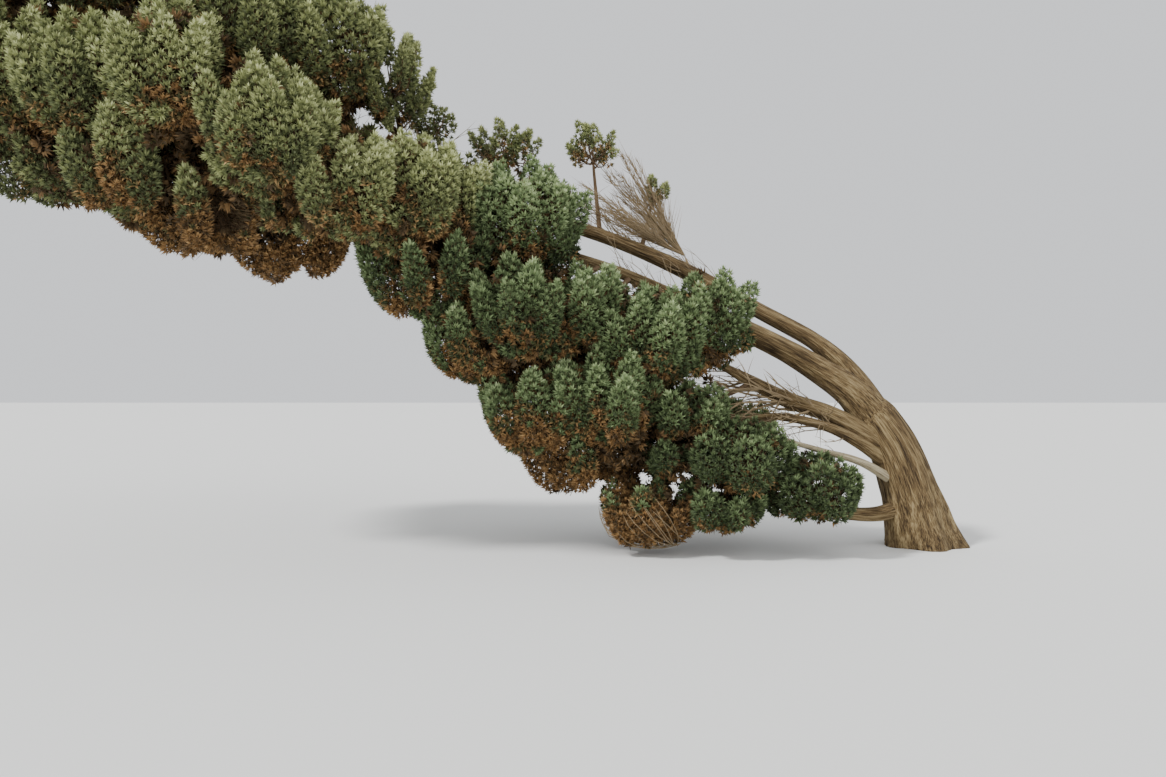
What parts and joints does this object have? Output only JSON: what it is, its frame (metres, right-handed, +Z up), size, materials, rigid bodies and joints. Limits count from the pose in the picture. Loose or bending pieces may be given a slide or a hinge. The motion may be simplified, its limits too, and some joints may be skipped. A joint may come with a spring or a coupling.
{
  "type": "leaning sawara cypress tree",
  "caption": "Large leaning false cypress: short flared trunk, two long bare stems, low boughs and many upright masses of soft blue-green foliage, rust-brown beneath, fixed at its cut foot.",
  "frame": {"origin": "middle of the flat cut under the trunk, at ground level", "axes": "+Z up; the tree leans along -X, its longest extent; -Y is the side that it is seen from"},
  "size_m": [10.4081, 3.2488, 6.2641],
  "materials": {
    "bark": "fibrous, peeling, matte",
    "dead_wood": "bare, weathered, matte",
    "foliage": "soft, matte",
    "rust_foliage": "dry, matte"
  },
  "bodies": {
    "root": {"trunk": "bark", "lower_stem": "bark", "leader": "bark", "rear_leader": "bark", "front_bough": "bark", "low_bough": "bark", "dead_bough": "dead_wood", "ground_bough": "bark", "hollow_bough": "bark", "far_left": "foliage", "left_plume": "foliage", "bright_plume": "foliage", "high_plume": "foliage", "broad_plume": "foliage", "airy_top": "foliage", "airy_edge": "foliage", "prop_side": "foliage", "neck": "foliage", "left_underside": "foliage", "mid_underside": "foliage", "rusty_underside": "rust_foliage", "hollow_rim": "rust_foliage", "hollow_tuft": "foliage", "top_right": "foliage", "top_middle": "foliage", "top_left": "foliage", "end_front": "foliage", "end_tip": "foliage", "end_back": "foliage", "saddle_plume": "foliage", "under_neck": "foliage", "left_belly": "rust_foliage", "mid_left_plume": "foliage", "mid_plume": "foliage", "tall_plume": "foliage", "slim_plume": "foliage", "lower_plume": "foliage", "mid_belly": "rust_foliage", "low_belly": "rust_foliage", "step_tuft": "foliage", "low_dome": "foliage", "foot_dome": "foliage", "foot_tuft": "foliage", "rusty_tuft": "rust_foliage", "link_tuft": "foliage", "stalked_tuft_left": "foliage", "stalked_tuft_middle": "foliage", "stalked_tuft": "foliage", "tuft_by_fan": "foliage", "dead_twigs": "dead_wood", "far_left_back": "foliage", "left_plume_back": "foliage", "bright_plume_back": "foliage", "broad_plume_back": "foliage", "mid_underside_back": "foliage", "neck_back": "foliage", "mid_left_plume_back": "foliage", "tall_plume_back": "foliage", "lower_plume_back": "foliage", "low_dome_back": "foliage"}
  },
  "joints": []
}
